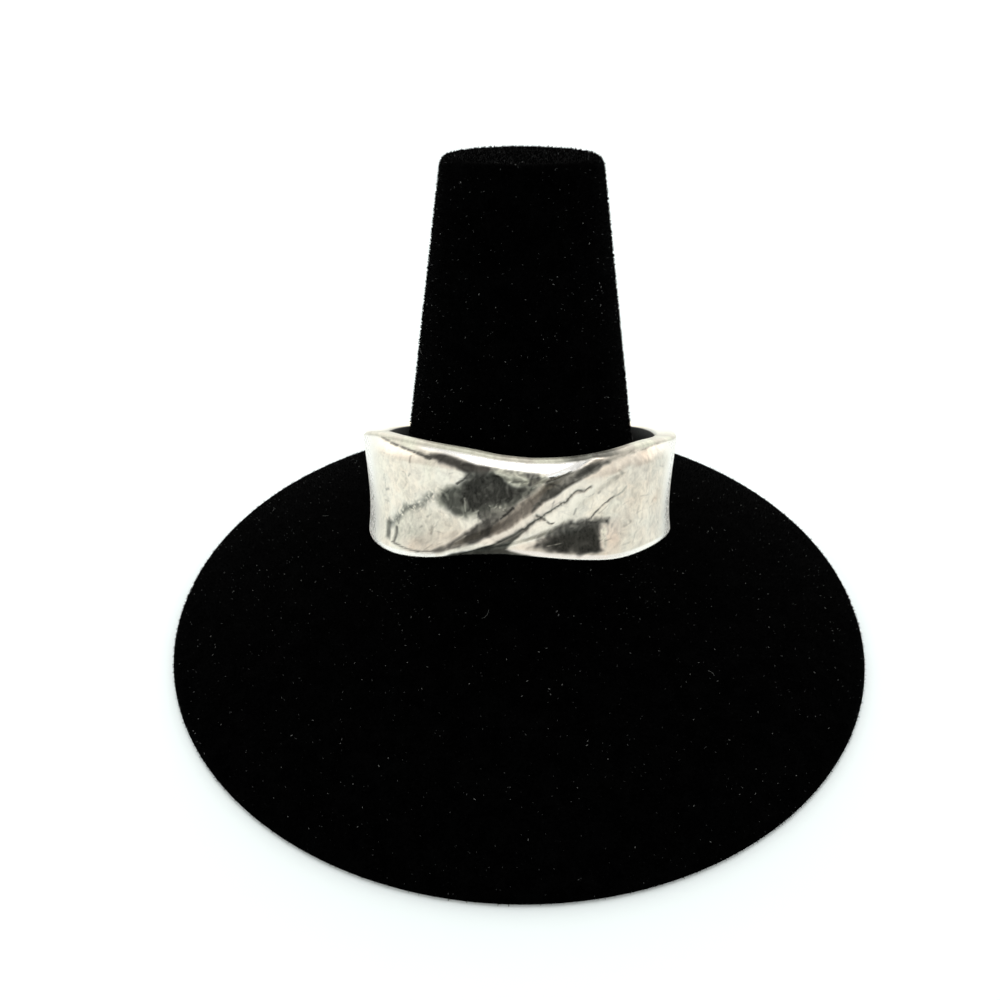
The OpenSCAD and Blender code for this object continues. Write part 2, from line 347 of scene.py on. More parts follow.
# The crease under the upper lip. Columns: angle round the ring, its height as a share of the band.
CREASE = np.array([
    (-75, 0.99), (-60, 0.985), (-50, 0.97), (-40, 0.95), (-30, 0.92), (-20, 0.855), (-10, 0.82),
    (0, 0.745), (10, 0.785), (20, 0.865), (30, 0.94), (45, 0.97), (75, 0.99),
])


def ease(a, b, x):
    share = np.clip((x - a) / (b - a), 0, 1)
    return share * share * (3 - 2 * share)


def hump(x, middle, width):
    return np.exp(-(((x - middle) / width) ** 2))


def pick(rows, column, x):
    """Value of one column of a table at x, as a smooth curve through its rows."""
    x = np.clip(x, rows[0, 0], rows[-1, 0])
    at, value = rows[:, 0], rows[:, column]
    i = np.clip(np.searchsorted(at, x, side="right") - 1, 0, len(rows) - 2)
    slope = np.zeros(len(rows))
    slope[1:-1] = (value[2:] - value[:-2]) / (at[2:] - at[:-2])
    step = at[i + 1] - at[i]
    u = (x - at[i]) / step
    return ((2 * u**3 - 3 * u**2 + 1) * value[i] + (u**3 - 2 * u**2 + u) * slope[i] * step
            + (3 * u**2 - 2 * u**3) * value[i + 1] + (u**3 - u**2) * slope[i + 1] * step)


def half_h(t):
    return mix(back_h, side_h, 1 - ease(80, 175, abs(t))) / 2


def wall(t):
    front = mix(side_wall, front_wall, 1 - ease(20, 90, abs(t)))
    back = mix(back_wall, side_wall, 1 - ease(90, 165, abs(t)))
    return np.where(abs(t) < 90, front, back)


def top_z(t):
    return half_h(t) + side_h * pick(EDGES, 1, t)


def bottom_z(t):
    return -half_h(t) - side_h * pick(EDGES, 2, t)


def ridge_t(v):
    return ridge_at + ridge_slope * (v - ridge_mid) + ridge_bend * (v - ridge_mid) ** 3


def turn(d, v):
    """Angle round the ring of a point d degrees from the ridge, at height v as a share of the band."""
    return d + ridge_t(v) * (1 - ease(45, 150, abs(d)))


# Wear, painted shade and painted reflections are drawn on the unrolled band, in pairs of the angle round the
# ring and the height in millimetres.
deg_mm = math.radians(1) * (bore_r + side_wall)


def grain(t, z, cell, seed, tall=1.0):
    """Smooth random mottle round the band, from 0 to 1, in cells of the given size in millimetres."""
    cells_round, cells_high = int(360 * deg_mm / cell), 400
    values = np.random.default_rng(seed).random((cells_round, cells_high))
    x, y = (t + 180) / 360 * cells_round, z / (cell * tall) + cells_high / 2
    i, j = np.floor(x).astype(int), np.floor(y).astype(int)
    fx, fy = x - i, y - j
    fx, fy = fx * fx * (3 - 2 * fx), fy * fy * (3 - 2 * fy)
    i, k = i % cells_round, (i + 1) % cells_round
    return mix(mix(values[i, j], values[k, j], fx), mix(values[i, j + 1], values[k, j + 1], fx), fy)


# The crest ends along the crack. Columns: height as a share of the band, angle from the ridge's upper edge.
CREST_END = np.array([
    (0, 8.5), (0.12, 7.6), (0.2, 5.7), (0.3, 3.7), (0.39, 3.1), (0.5, 4.0), (0.61, 6.2), (0.7, 7.0),
    (0.76, 8.7), (1, 12.0),
])


def relief(d, t, v):
    """How far the outer face stands out from the band's rims."""
    ragged = 0.02 * (grain(t, 6.5 * v, 0.5, 5) - 0.5) + 0.012 * (grain(t, 6.5 * v, 0.2, 6) - 0.5)
    crease = pick(CREASE, 1, t) + ragged
    under_lip = 1 - ease(crease, crease + 0.14, v)
    edge = pick(CREST_END, 1, v)
    crest = ease(-face_turn, -0.7, d) * (1 - ease(edge, edge + 12, d)) * ease(0, 0.12, v)
    valley = (1 - ease(-face_turn, 0, d)) * hump(d, -face_turn, 26) * ease(0.02, 0.24, v)
    panel = ease(ridge_turn, ridge_turn + 8, d) * hump(d, 25, 15) * hump(v, 0.24, 0.28) * ease(0, 0.24, v)
    step = 0.45 * ease(edge - 0.2, edge + 0.9, d) * (1 - ease(ridge_turn, 48, d)) * (1 - ease(0.55, 0.72, v))
    flare = ease(0.1, 0.9, v) * ease(35, 75, abs(t)) * (1 - ease(110, 160, abs(t)))
    return (ridge_h * crest * under_lip - (valley_d * valley + step_d * step) * under_lip - panel_d * panel
            - dish_d * (1 - (2 * v - 1) ** 2) * (1 - ease(95, 150, abs(t))) + side_flare * flare
            - 2 * lip_roll * ease(0.84, 1.16, v) * (1 - ease(45, 85, abs(t))))


# The columns of the mesh crowd together at the ridge, and even is the share of them that doesn't.
column_n, face_n, bore_n, round_n = 620, 104, 20, 5
crowd, even = np.linspace(-1, 1, column_n, endpoint=False), 0.3
d = (180 * (even * crowd + (1 - even) * crowd**3))[:, None]
t_top, t_low, low_r = turn(d, 1.0), turn(d, 0.0), 0.14
z_top, z_low = top_z(t_top) - edge_r, bottom_z(t_low) + edge_r
hole_edge = bore_r + bore_ease + edge_r
out_top = bore_r + wall(t_top) + relief(d, t_top, 1.0) - edge_r
out_low = bore_r + wall(t_low) + relief(d, t_low, 0.0) - edge_r


def rounding(t, middle_r, middle_z, start, end, skip_first, skip_last, tall=edge_r):
    """One rounded edge of the band's section, without the ends that its neighbours have."""
    a = np.radians(np.linspace(start, end, round_n + 1))[None, int(skip_first):round_n + 1 - int(skip_last)]
    return t + 0 * a, middle_r + edge_r * np.cos(a) + 0 * t, middle_z + tall * np.sin(a)


def off_line(line, t, z):
    """Distance in millimetres from each point of the band to a line drawn on it."""
    near = np.full(np.broadcast(t, z).shape, 9.0)
    for (t0, z0), (t1, z1) in zip(line, line[1:]):
        along, up = (t1 - t0) * deg_mm, z1 - z0
        u, w = (t - t0) * deg_mm, z - z0
        share = np.clip((u * along + w * up) / (along**2 + up**2), 0, 1)
        near = np.minimum(near, np.hypot(u - share * along, w - share * up))
    return near


def in_patch(outline, t, z):
    """The same distance for a closed outline, positive inside it."""
    inside = np.zeros(np.broadcast(t, z).shape, bool)
    ring_of_points = outline + outline[:1]
    for (t0, z0), (t1, z1) in zip(ring_of_points, ring_of_points[1:]):
        if z0 != z1:
            inside ^= ((z0 > z) != (z1 > z)) & (t < t0 + (t1 - t0) * (z - z0) / (z1 - z0))
    return np.where(inside, 1, -1) * off_line(ring_of_points, t, z)


CRACK = [
    (-8, -1.65), (-5, -1.35), (-2.5, -1.1), (0, -0.7), (1, -0.75), (2, -0.45), (4, -0.15), (6.4, 0.08),
    (4.8, 0.22),
]
CRACK_UP = [
    (7, 0.25), (9, 0.5), (10.5, 0.68), (12, 0.85), (13, 1.05), (14.6, 1.06), (15.2, 1.3), (16.5, 1.58),
    (17.6, 1.76), (18.5, 1.84), (20, 1.8), (21, 1.76), (21.8, 1.9), (23, 2.02),
]
CRACK_SPUR = [(6.4, 0.08), (8.2, -0.2), (9.2, -0.42), (10.6, -0.38)]
SCRATCH = [(23, -0.46), (24.5, -0.35), (26, 0.0), (28, 0.36), (30, 0.64), (32, 0.86), (33.2, 0.97)]
SCRATCH_END = [(33.2, 1.0), (35, 1.08), (37, 1.25), (38.6, 1.55)]
NICK_WIDE = [
    (-58.2, -2.9), (-57.8, -2.4), (-57, -2.0), (-56.2, -1.6), (-55, -1.35), (-54.0, -1.7), (-54.8, -2.2),
    (-54.5, -2.6), (-54.6, -2.92),
]
NICK_THIN = [
    (-52.6, -3.0), (-51.6, -2.3), (-50.9, -1.8), (-50, -1.75), (-49.8, -2.2), (-50.3, -2.6), (-51, -2.95),
]
TRAIL = [
    (-55.5, -1.75), (-53.5, -1.65), (-51, -1.35), (-49, -1.0), (-47.8, -0.7), (-46.5, -0.4), (-44, -0.12),
    (-41, 0.08), (-38.5, 0.3), (-36, 0.55), (-34.5, 0.85), (-32.5, 1.15),
]
FLAKED = [(-12, 3.4), (-9, 2.9), (-5, 2.2), (0, 1.9), (5, 1.8), (9, 2.3), (8, 2.9), (2, 3.2)]


def worn_in(t, z):
    """Depth of the crack, the scratches and the dents, and the slow waves of a hand-finished face."""
    waver = 0.08 * (grain(t, z, 0.25, 4) - 0.5)
    crack = hump(np.minimum(off_line(CRACK, t, z), off_line(CRACK_UP, t, z)) + waver, 0, 0.075)
    spur = hump(np.minimum(off_line(CRACK_SPUR, t, z), off_line(SCRATCH, t, z)) + waver, 0, 0.05)
    faint = hump(off_line(SCRATCH_END, t, z) + waver, 0, 0.05)
    nicks = np.maximum(ease(-0.1, 0.15, in_patch(NICK_WIDE, t, z)),
                       ease(-0.08, 0.1, in_patch(NICK_THIN, t, z)))
    trail = hump(off_line(TRAIL, t, z), 0, 0.24) * grain(t, z, 0.2, 11)
    waves = (0.020 * (grain(t, z, 2.2, 1) - 0.5) + 0.008 * (grain(t, z, 0.7, 2) - 0.5)
             + 0.004 * (grain(t, z, 0.25, 3) - 0.5))
    flakes = 0.05 * ease(-0.2, 0.2, in_patch(FLAKED, t, z)) * (grain(t, z, 0.22, 12) - 0.5)
    front = 1 - ease(56, 70, abs(t))
    marks = 0.055 * crack + 0.04 * spur + 0.015 * faint + 0.04 * nicks + 0.05 * trail
    return (marks - flakes - waves) * front


v_in = np.linspace(0, 1, bore_n + 1)[None, :]
t_in = mix(t_low, t_top, v_in)
z_in = mix(bottom_z(t_in) + edge_r, top_z(t_in) - edge_r, v_in)
r_in = bore_r + bore_ease * abs(2 * v_in - 1) ** 3 + 0 * t_in
v_out = np.linspace(1, 0, face_n + 1)[None, :]
t_out = turn(d, v_out)
z_out = mix(bottom_z(t_out) + low_r, top_z(t_out) - edge_r, v_out)
off_edges = ease(0, 0.04, v_out) * (1 - ease(0.97, 1, v_out))
r_out = bore_r + wall(t_out) + relief(d, t_out, v_out) - worn_in(t_out, z_out) * off_edges
across = np.array([[0.25, 0.5, 0.75]])
sections = [
    (t_in, r_in, z_in),
    rounding(t_top, hole_edge, z_top, 180, 90, True, False),
    (t_top + 0 * across, mix(hole_edge, out_top, across), z_top + edge_r + 0 * across),
    rounding(t_top, out_top, z_top, 90, 0, False, True),
    (t_out, r_out, z_out),
    rounding(t_low, out_low, z_low - edge_r + low_r, 0, -90, True, False, low_r),
    rounding(t_low, hole_edge, z_low, -90, -180, False, True),
]
band_t, band_r, band_z = (np.concatenate([part[i] for part in sections], axis=1) for i in range(3))
section_rows = np.repeat(range(len(sections)), [part[0].shape[1] for part in sections])[None, :] + 0 * band_t

taper_a = math.degrees(math.atan(taper))
ring_tilt = post_lean + taper_a
tilt_sin, tilt_cos = math.sin(math.radians(ring_tilt)), math.cos(math.radians(ring_tilt))
back_drop = (bore_r + back_wall) * tilt_sin + back_h / 2 * tilt_cos
hole_shift = (bore_r - seat_gap) / math.cos(math.radians(taper_a)) - post_foot_d / 2
ring_s = (base_h + rest_gap + back_drop + hole_shift * lean_sin) / (lean_cos - taper * lean_sin)
ring_back = hole_shift + taper * ring_s


def leaned(points, angle):
    c, s = math.cos(math.radians(angle)), math.sin(math.radians(angle))
    return np.stack([points[..., 0], c * points[..., 1] + s * points[..., 2],
                     c * points[..., 2] - s * points[..., 1]], -1)


band = np.stack([band_r * np.sin(np.radians(band_t)), -band_r * np.cos(np.radians(band_t)), band_z], -1)
band = leaned(leaned(band, taper_a) + [0, ring_back, ring_s], post_lean) - [0, post_forward, 0]
ring = closed_skin("ring_band", list(band), False)


# Worn silver. The film on the band, as values for each point of its mesh: tarnish darkens it, partly as real
# tarnish and partly as painted shade in recesses and painted reflections of the dark stand and room; warmth
# turns its tint from green grey to brown, polish is where cloth keeps it bright and also where highlights are
# painted in, and dull takes its shine.
HOLLOW = [
    (-17.8, 3.0), (-19.5, 2.6), (-20.5, 2.42), (-22.5, 2.12), (-25, 1.9), (-27, 1.75), (-29, 1.45),
    (-30.2, 1.15), (-30.4, 0.8), (-29.5, 0.45), (-27.5, 0.25), (-25.5, 0.05), (-23, -0.12), (-20, -0.2),
    (-17.5, -0.12), (-15.5, -0.05), (-11, 0.1), (-8, -0.1), (-5, 0.2), (-2.5, 0.6), (0, 1.0), (2.5, 1.35),
    (5, 1.7), (6, 2.0), (4, 2.3), (2, 2.9), (-2, 3.3), (-10, 3.45),
]
HOLLOW_DEEP = [
    (-18, 2.9), (-20, 2.3), (-21, 1.6), (-20.5, 0.8), (-18, 0.35), (-14, 0.5), (-11, 0.9), (-7, 1.0),
    (-4, 1.2), (-1.5, 1.4), (1, 1.75), (-2, 1.95), (-4.5, 2.2), (-7, 2.7), (-10, 2.95), (-14, 3.1),
]
HOLLOW_FOOT = [
    (-16, 0.15), (-12, 0.3), (-8, 0.5), (-5, 0.6), (-3.0, 0.62), (-4.5, 0.15), (-7.5, -0.25),
    (-9.5, -0.1), (-13, -0.3), (-15.5, -0.4),
]
HOLLOW_EDGE = [(-17.6, 3.02), (-19.5, 2.6), (-20.5, 2.42), (-22.7, 2.12)]
UNDER_LIP_REFLECTION = [
    (-34, 3.68), (-30, 3.58), (-25, 3.38), (-20, 3.05), (-17.5, 2.95), (-12, 2.9), (-10, 3.3),
    (-11, 3.48), (-15, 3.6), (-19, 3.75), (-22, 3.9), (-25, 4.02), (-28, 4.08), (-31, 4.04), (-34, 3.95),
]
UNDER_LIP_FAINT_REFLECTION = [(-46, 4.02), (-40, 3.92), (-34, 3.68), (-31, 3.62), (-31, 4.04), (-38, 4.1)]
FACET = [
    (-10.5, 3.42), (-9.5, 3.0), (-7.5, 2.8), (-5, 2.3), (-3.3, 2.03), (-0.5, 2.03), (1, 2.25), (3, 2.0),
    (6, 2.1), (8.5, 2.35), (9, 2.7), (7.5, 3.0), (5, 3.12), (0, 3.22), (-5, 3.34),
]
FACET_FOLD = [(1, 3.1), (3, 2.6), (2, 2.1), (3.4, 2.0), (5.5, 2.3), (6.5, 2.7), (5, 3.05)]
UNDER_SHINE = [
    (8, 1.7), (10, 1.85), (15, 2.25), (18, 2.6), (21, 2.9), (24, 3.2), (25, 3.38), (21, 3.2), (18, 3.08),
    (15, 2.94), (12.5, 2.74), (10, 2.52), (8, 2.4),
]
STEEP_LOW_REFLECTION = [
    (-31.5, -2.72), (-27, -2.3), (-25, -2.05), (-23, -1.75), (-20, -1.25), (-17.5, -0.95), (-15.5, -0.6),
    (-13, -0.25), (-9, 0.0), (-7.5, -0.35), (-10, -0.7), (-10, -1.2), (-12, -1.36), (-15, -1.68),
    (-17, -1.85), (-20, -2.1), (-22, -2.25), (-25, -2.45), (-27, -2.6), (-31, -2.8),
]
STEEP_BROWN_REFLECTION = [
    (-10.5, -1.2), (-10.5, -0.75), (-7.5, -0.35), (-5, 0.15), (-2.5, 0.58), (0, 1.02), (2.5, 1.35),
    (5, 1.68), (7.5, 1.95), (10, 2.12), (11, 2.0), (10, 1.5), (5, 0.74), (2.5, 0.36), (0, 0.0),
    (-2.5, -0.42), (-5, -0.74), (-8, -1.06),
]
BROWN_EDGE = [
    (-8, -0.35), (-5, 0.12), (-2.5, 0.56), (0, 1.0), (3, 1.4), (6.5, 1.8), (7, 1.72), (4, 1.3),
    (0.5, 0.78), (-2, 0.34), (-4.5, -0.1), (-7, -0.42),
]
STEEP_LINE = [(-7.5, -0.2), (-6, 0.05), (-4.5, 0.3), (-3.2, 0.55)]
STEEP_HIGH_REFLECTION = [
    (3.2, 0.5), (4, 0.95), (6, 1.4), (8, 1.75), (10, 2.02), (12, 2.2), (15, 2.42), (18, 2.75), (21, 3.06),
    (25, 3.38), (28, 3.5), (30, 3.54), (32.5, 3.56), (31, 3.4), (28, 3.2), (25, 3.0), (20, 2.69),
    (15, 2.12), (10, 1.5), (5, 0.78),
]
NOTCH_SHADE = [
    (-27, -2.9), (-24, -2.68), (-20, -2.44), (-16, -2.2), (-13, -1.98), (-10, -1.76), (-8, -1.55),
    (-5.5, -1.28), (-2.5, -1.0), (0, -0.66), (2, -0.5), (1.6, -0.72), (-0.6, -1.1), (-2.8, -1.5),
    (-4.2, -1.86), (-5.0, -2.12), (-2, -2.34), (2, -2.5), (6, -2.66), (10, -2.84), (10, -3.2),
    (-27, -3.2),
]
STRIP = [
    (-30, -2.82), (-25, -2.5), (-20, -2.15), (-15, -1.75), (-10, -1.25), (-5, -0.8), (0, -0.1), (5, 0.65),
    (10, 1.35), (15, 2.05), (20, 2.7), (22, 2.2), (17, 1.65), (13, 1.05), (9, 0.52), (6, 0.15), (2, -0.4),
    (-2, -1.05), (-5, -1.35), (-8, -1.6), (-13, -2.02), (-20, -2.45), (-30, -3.0),
]
SCOOP_REFLECTION = [
    (2.2, -2.02), (5, -1.66), (8, -1.3), (10, -1.02), (12.5, -0.78), (15, -0.5), (17, -0.36), (19, -0.46),
    (21, -0.32), (23, -0.36), (25, -0.5), (27, -0.45), (30, -0.5), (32, -0.56), (31.4, -0.85),
    (29.2, -0.8), (28.6, -1.4), (29, -1.8), (28, -2.0), (27.6, -2.4), (28.6, -2.62), (27, -2.76),
    (25, -2.74), (20, -2.66), (15, -2.5), (10, -2.3), (6, -2.14),
]
SCOOP_DEEP_REFLECTION = [
    (8, -1.9), (11, -1.5), (14, -1.2), (18, -1.05), (22, -1.05), (27.5, -1.0), (27.5, -1.8), (26.5, -2.5),
    (20, -2.45), (13, -2.15),
]
SCOOP_SIDE_HIGHLIGHT = [(28.5, -1.2), (30.5, -1.3), (31, -2.0), (30, -2.6), (28.6, -2.5), (28, -1.9)]
PANEL_PALE = [
    (5, -1.1), (8, -0.6), (14, -0.1), (20, 0.9), (26, 1.7), (24, 2.3), (20, 1.9), (14, 1.0), (9, 0.3),
    (3, -0.5),
]
LOBE = [
    (-50, -1.3), (-46, -0.6), (-40, -0.1), (-34, 0.1), (-28, -0.1), (-30, -1.2), (-34, -2.6),
    (-40, -2.95), (-50, -2.9),
]
LOBE_RIGHT = [
    (-46, -0.6), (-40, -0.1), (-34, 0.0), (-26, -0.4), (-20, -0.9), (-24, -1.9), (-30, -2.6), (-40, -2.9),
    (-46, -2.5),
]
CREASE_LEFT_SHADE = [
    (-65, 4.36), (-60, 4.25), (-55, 4.14), (-50, 4.07), (-45, 4.0), (-40, 3.9), (-36, 3.78), (-33, 3.68),
]
CREASE_FAINT_SHADE = [(32, 3.54), (35, 3.63), (38, 3.69), (42, 3.77), (45, 3.79)]
CREASE_RIGHT_SHADE = [(46, 3.79), (50, 3.81), (55, 3.83), (60, 3.87), (65, 3.92)]
RIM_LINE = [(-53, -2.98), (-48, -3.02), (-43, -3.06), (-38, -3.02), (-34, -2.86), (-31, -2.76)]
DASHES = [
    [(-20.2, 0.2), (-20.3, 1.1)], [(-18.2, 0.0), (-15.5, 0.3)], [(8.5, -1.98), (14, -1.86)],
    [(3.4, 2.1), (5, 2.4), (7, 2.35), (9.5, 2.5)], [(3.7, 1.95), (4.2, 1.97)], [(-9.5, 0.6), (-8.7, 0.85)],
    [(-6.8, 0.45), (-5.8, 0.55)], [(-23, -1.9), (-20, -1.5)],
]
SPECKS = [
    [(-41.8, 3.6), (-41.4, 3.2)], [(-42.5, 2.2), (-41.9, 2.35)], [(26.6, 1.48), (27, 1.55)],
    [(33, -1.25), (33.4, -1.0)], [(30, -0.5), (32, -0.55), (32.2, -0.9)], [(-56.5, 0.7), (-54.5, 0.85)],
    [(24, -2.8), (24.8, -2.74)], [(34, 2.9), (36, 2.6)], [(40, -0.7), (41.5, -1.0)],
    [(-38.5, -1.4), (-37.5, -1.25)], [(-33.8, -1.7), (-33.2, -1.2)], [(17.8, 0.1), (18.4, 0.5)],
]
# The polish and painted highlight on the lip lie above this height.
LIP_LOW = np.array([
    (-46, 4.2), (-35, 4.12), (-27, 4.08), (-22, 3.9), (-19, 3.78), (-15, 3.62), (-10, 3.5), (-5, 3.36),
    (0, 3.24), (5, 3.15), (7.5, 3.05), (9, 2.7), (10, 2.55), (12.5, 2.8), (15, 2.98), (20, 3.2),
    (25, 3.52), (30, 3.72), (40, 3.95),
])

# Small shifts of place break the straight lines that mottle in square cells would show.
t, z = band_t, band_z
t_drift = t + 2.5 * (grain(t, z, 0.45, 31) - 0.5)
z_drift = z + 0.4 * (grain(t, z, 0.45, 32) - 0.5)
wobble = 0.30 * (grain(t_drift, z_drift, 0.6, 21) - 0.5) + 0.14 * (grain(t_drift, z_drift, 0.2, 22) - 0.5)
streak = 0.6 * grain(t_drift, z_drift, 0.12, 23, tall=4) + 0.4 * grain(t_drift, z_drift, 0.3, 33, tall=2)
speck = grain(t_drift, z_drift, 0.13, 24)
blotch = grain(t_drift, z_drift, 0.9, 25)
smear = grain(t_drift, z_drift, 0.22, 34, tall=1.8)
# The band is painted lighter toward its sides, less tarnished and more polished, as a painted highlight where
# it turns away.
side_highlight = ease(58, 72, abs(t)) * (1 - ease(90, 110, abs(t)))
at_right = ease(22, 40, t) * (1 - ease(58, 72, t))
tarnish_and_shade = (0.06 + 0.07 * (blotch - 0.5) + 0.12 * (smear - 0.5) + 0.10 * (speck - 0.5)
           + 0.09 * ease(0.62, 1, streak) - 0.05 * side_highlight + (0.08 + 0.06 * ease(1.5, 3, z)) * at_right)
warmth = (0.56 + 0.06 * ease(12, 32, t) + 0.28 * (grain(t_drift, z_drift, 1.6, 27) - 0.5)
          + 0.2 * (grain(t_drift, z_drift, 0.5, 35) - 0.5))
polish_and_highlight = 0.15 * grain(t_drift, z_drift, 1.2, 28) + 0.5 * side_highlight
dull = 0.6 * ease(60, 76, abs(t)) * (1 - ease(96, 125, abs(t)))


def lay(outline, level, soft, rough=1.0, tint=None, shine=0.0):
    """Lays one film over the area inside an outline, with a ragged edge: real tarnish in some places, painted
    shade and painted reflections in others.
    """
    global tarnish_and_shade, warmth, polish_and_highlight
    cover = ease(-soft, soft, in_patch(outline, t, z) + rough * wobble)
    tarnish_and_shade = mix(tarnish_and_shade, level, cover)
    polish_and_highlight = mix(polish_and_highlight, shine, cover)
    if tint is not None:
        warmth = mix(warmth, tint, cover)


lay(LOBE, tarnish_and_shade + 0.05, 0.5)
lay(LOBE_RIGHT, tarnish_and_shade + 0.05, 0.5)
lay(PANEL_PALE, tarnish_and_shade - 0.04, 0.4, tint=0.62, shine=0.15)
# The lower rim is a bright bead under a thin dark line, partly polish and partly a painted highlight in its
# colour.
over_rim = z - bottom_z(t)
rim_polish_and_highlight = (section_rows >= 4) * (1 - ease(0.36, 0.50, over_rim)) * (1 - ease(70, 100, abs(t)))
tarnish_and_shade, polish_and_highlight = mix(tarnish_and_shade, 0.02 + 0.05 * blotch, rim_polish_and_highlight), mix(polish_and_highlight, 0.6, rim_polish_and_highlight)
lay(NICK_WIDE, 0.54 + 0.4 * (streak - 0.5), 0.20, 0.6, tint=0.35)
lay(NICK_THIN, 0.62 + 0.3 * (streak - 0.5), 0.13, 0.4, tint=0.35)
crumbs = ease(0.2, 0.6, 0.5 * speck + 0.5 * grain(t_drift, z_drift, 0.25, 29))
trail = hump(off_line(TRAIL, t, z) + 0.5 * wobble, 0, 0.30) * crumbs
tarnish_and_shade = mix(tarnish_and_shade, 0.60, 0.95 * trail)
warmth = mix(warmth, 0.2, trail)
lay(STRIP, 0.07 + 0.12 * (smear - 0.5) + 0.08 * (blotch - 0.5), 0.14, 0.4, tint=0.6, shine=0.15)
# The hollow is dark partly from tarnish gathered in it and partly as a painted reflection of the black base
# and the dark room in front.
lay(HOLLOW, 0.70 + 0.34 * (smear - 0.5) + 0.2 * (blotch - 0.5), 0.38, 0.7, tint=0.12)
lay(HOLLOW_DEEP, 1.0 + 0.40 * (smear - 0.5) + 0.2 * (speck - 0.5), 0.45, tint=0.38)
lay(HOLLOW_FOOT, 0.68 + 0.4 * (smear - 0.5), 0.28, 0.6, tint=0.4)
flakes = hump(off_line([(-13, 0.72), (-9, 0.7), (-5, 0.45)], t, z), 0, 0.22) * ease(0.6, 0.85, speck)
tarnish_and_shade = tarnish_and_shade - 0.35 * flakes
# Under the lip the dark band is a painted reflection of the black base in the flank that faces down.
lay(UNDER_LIP_FAINT_REFLECTION, 0.30, 0.16, tint=0.5)
lay(UNDER_LIP_REFLECTION, 0.82 + 0.24 * (smear - 0.5), 0.16, 0.5, tint=0.55)
facet = ease(-0.2, 0.15, in_patch(FACET, t, z) + 0.6 * wobble)
dull = np.maximum(dull, 0.7 * facet)
lay(FACET, 0.30 + 0.45 * (smear - 0.5) + 0.35 * (speck - 0.5), 0.16, tint=0.15)
lay(FACET_FOLD, 0.62 + 0.8 * (streak - 0.5), 0.14, 0.6, tint=0.35)
# A grey band between the steep face and the lip's shine, laid in as a painted reflection.
lay(UNDER_SHINE, 0.62 + 0.2 * (streak - 0.5), 0.14, 0.4, tint=0.35)
# The notch under the strip is painted shade, a shadowed recess, darker to the left.
lay(NOTCH_SHADE, 0.80 + 0.13 * ease(-6, -17, t) + 0.3 * (smear - 0.5), 0.09, 0.25, tint=0.15)
# The steep face is a painted reflection of the black post, tinted brown with tarnish, with lighter brown
# along its edge.
lay(STEEP_LOW_REFLECTION, 0.73 + 0.3 * (smear - 0.5), 0.15, 0.5, tint=0.45)
lay(STEEP_BROWN_REFLECTION, 0.54 + 0.3 * (streak - 0.5), 0.14, 0.5, tint=0.75)
lay(BROWN_EDGE, 0.44 + 0.3 * (smear - 0.5), 0.12, 0.5, tint=0.66)
lay(STEEP_HIGH_REFLECTION, 0.80 + 0.24 * (smear - 0.5), 0.13, 0.4, tint=0.3)
# The dished panel is a painted reflection of the dark room in front, darkest at its deepest part, with a
# painted highlight at its right side.
lay(SCOOP_REFLECTION, 0.72 + 0.4 * (smear - 0.5), 0.26, tint=0.5)
lay(SCOOP_DEEP_REFLECTION, 1.0 + 0.35 * (smear - 0.5), 0.34, tint=0.25)
lay(SCOOP_SIDE_HIGHLIGHT, 0.10 + 0.3 * (speck - 0.5), 0.12, tint=0.35)
# Thin lines: the cracks and scratches are real marks, the creases are painted shade in the crease,
# HOLLOW_EDGE and STEEP_LINE sharpen the dark edges of the hollow and the steep face with the same mix of
# tarnish and painted reflection, and RIM_LINE is a thin dark line over the lower rim.
for line, level, width in (
        (CRACK, 0.55, 0.18), (CRACK, 0.76, 0.07), (CRACK_UP, 0.40, 0.13), (CRACK_UP, 0.66, 0.06),
        (CRACK_SPUR, 0.60, 0.06), (SCRATCH, 0.66, 0.07), (SCRATCH_END, 0.34, 0.06),
        (CREASE_LEFT_SHADE, 0.88, 0.085), (CREASE_FAINT_SHADE, 0.44, 0.10), (CREASE_RIGHT_SHADE, 0.5, 0.06),
        (RIM_LINE, 0.6, 0.055), (HOLLOW_EDGE, 0.84, 0.05), (STEEP_LINE, 0.95, 0.08)):
    off = off_line(line, t, z) + 0.15 * wobble + 0.10 * (speck - 0.5)
    drawn = hump(off, 0, width) * ease(-0.6, 0.3, smear)
    tarnish_and_shade, warmth, polish_and_highlight = mix(tarnish_and_shade, level, drawn), mix(warmth, 0.4, drawn), mix(polish_and_highlight, 0, drawn)
# Where the band turns away at its sides the mottle would draw out into streaks, so it fades there.
front = 1 - ease(56, 70, abs(t))
tarnish_and_shade, warmth = mix(0.07, tarnish_and_shade, front), mix(0.5, warmth, front)
# Fine scratches in every direction, faint ones all over the band.
strokes = np.random.default_rng(41)
for _ in range(300):
    at_t, at_z = strokes.uniform(-60, 60), strokes.uniform(-2.9, 3.7)
    slant, length = strokes.uniform(-0.5, 1.9), strokes.uniform(0.08, 0.45)
    half_t, half_z = length * math.cos(slant) / deg_mm, length * math.sin(slant)
    bow = strokes.uniform(-0.25, 0.25) * length
    line = [(at_t - half_t, at_z - half_z), (at_t + bow / deg_mm, at_z), (at_t + half_t, at_z + half_z)]
    near = (abs(t - at_t) < 12) & (abs(z - at_z) < 1.0)
    mark = hump(off_line(line, t[near], z[near]), 0, strokes.uniform(0.03, 0.06))
    tarnish_and_shade[near] += strokes.uniform(-0.05, 0.17) * mark
for line in DASHES:
    tarnish_and_shade = mix(tarnish_and_shade, 0.42, 0.9 * hump(off_line(line, t, z) + 0.3 * wobble, 0, 0.05))
for line in SPECKS:
    tarnish_and_shade = mix(tarnish_and_shade, 0.45, 0.8 * hump(off_line(line, t, z) + 0.3 * wobble, 0, 0.07))
